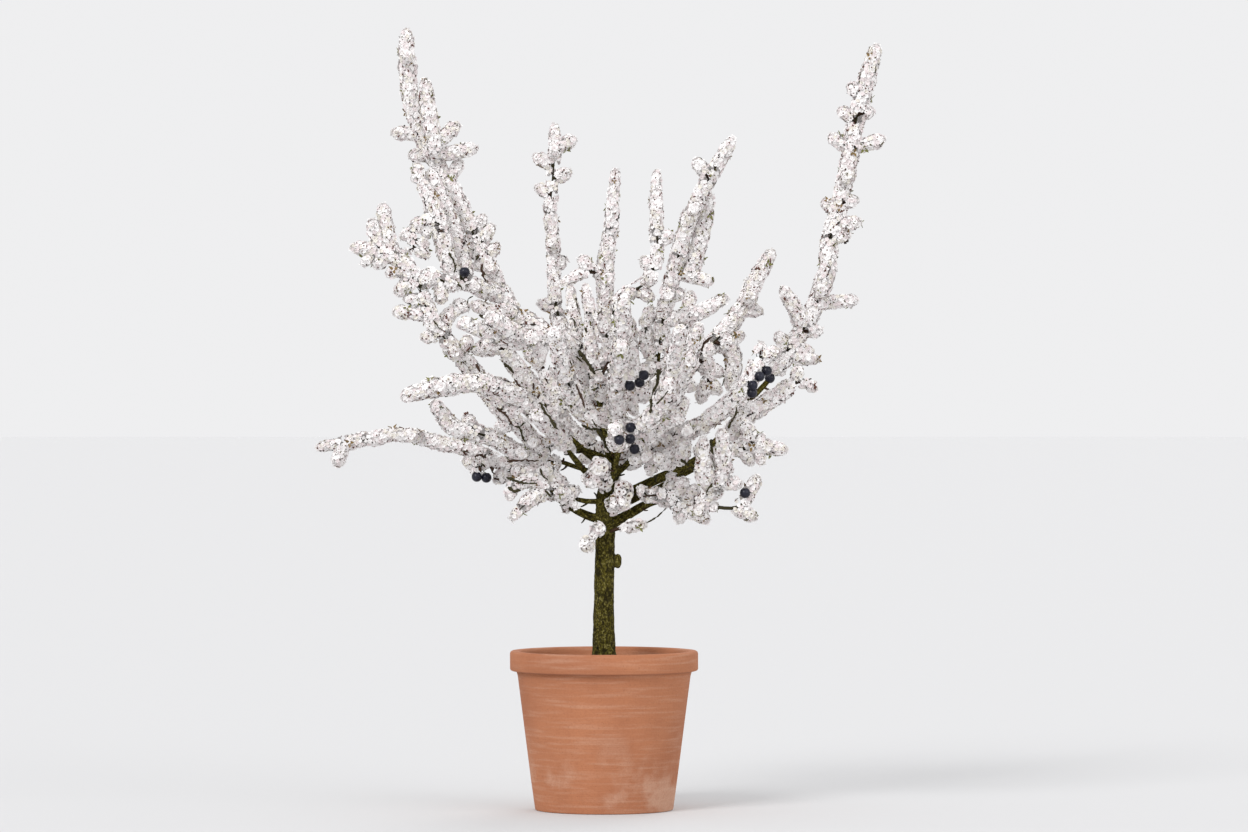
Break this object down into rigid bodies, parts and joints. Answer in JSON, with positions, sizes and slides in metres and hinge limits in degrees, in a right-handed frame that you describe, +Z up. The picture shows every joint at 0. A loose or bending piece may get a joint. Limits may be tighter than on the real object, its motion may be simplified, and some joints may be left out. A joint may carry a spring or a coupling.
{
  "type": "potted nanking cherry",
  "caption": "Open, vase-shaped nanking cherry shrub in white blossom with dark fruit, on one short trunk in a plain terracotta pot.",
  "frame": {"origin": "centre of the pot's flat underside, where it stands", "axes": "+Z up along the trunk, +X to the right and -Y towards the viewer in the picture's view"},
  "size_m": [1.1486, 0.8698, 1.5776],
  "materials": {
    "terracotta": "matt unglazed clay",
    "soil": "crumbly potting soil",
    "bark": "rough olive-brown bark",
    "bough_bark": "dark smooth young bark",
    "blossom": "soft white petals"
  },
  "bodies": {
    "root": {"pot": "terracotta", "soil": "soil", "trunk": "bark", "bough_left_long": "bough_bark", "bough_left_short": "bough_bark", "bough_left_arch": "bough_bark", "bough_left_inner": "bough_bark", "bough_left_fan": "bough_bark", "bough_left_middle": "bough_bark", "bough_left_leader": "bough_bark", "bough_front_left": "bough_bark", "bough_back_left": "bough_bark", "bough_front": "bough_bark", "bough_back_right": "bough_bark", "bough_centre_right": "bough_bark", "bough_right_fan": "bough_bark", "bough_right_front": "bough_bark", "bough_right_leader": "bough_bark", "bough_right_outer": "bough_bark", "bough_right_low": "bough_bark", "bough_front_low": "bough_bark", "bough_back_high": "bough_bark", "bough_back_low": "bough_bark", "blossom_left_long": "blossom", "blossom_left_short": "blossom", "blossom_left_arch": "blossom", "blossom_left_inner": "blossom", "blossom_left_fan": "blossom", "blossom_left_middle": "blossom", "blossom_left_leader": "blossom", "blossom_front_left": "blossom", "blossom_back_left": "blossom", "blossom_front": "blossom", "blossom_back_right": "blossom", "blossom_centre_right": "blossom", "blossom_right_fan": "blossom", "blossom_right_front": "blossom", "blossom_right_leader": "blossom", "blossom_right_outer": "blossom", "blossom_right_low": "blossom", "blossom_front_low": "blossom", "blossom_back_high": "blossom", "blossom_back_low": "blossom", "blossom_right_spray": "blossom", "blossom_fork_left_tuft": "blossom", "blossom_fork_right_tuft": "blossom", "blossom_trunk_tuft": "blossom", "blossom_short_left_tuft": "blossom"}
  },
  "joints": []
}
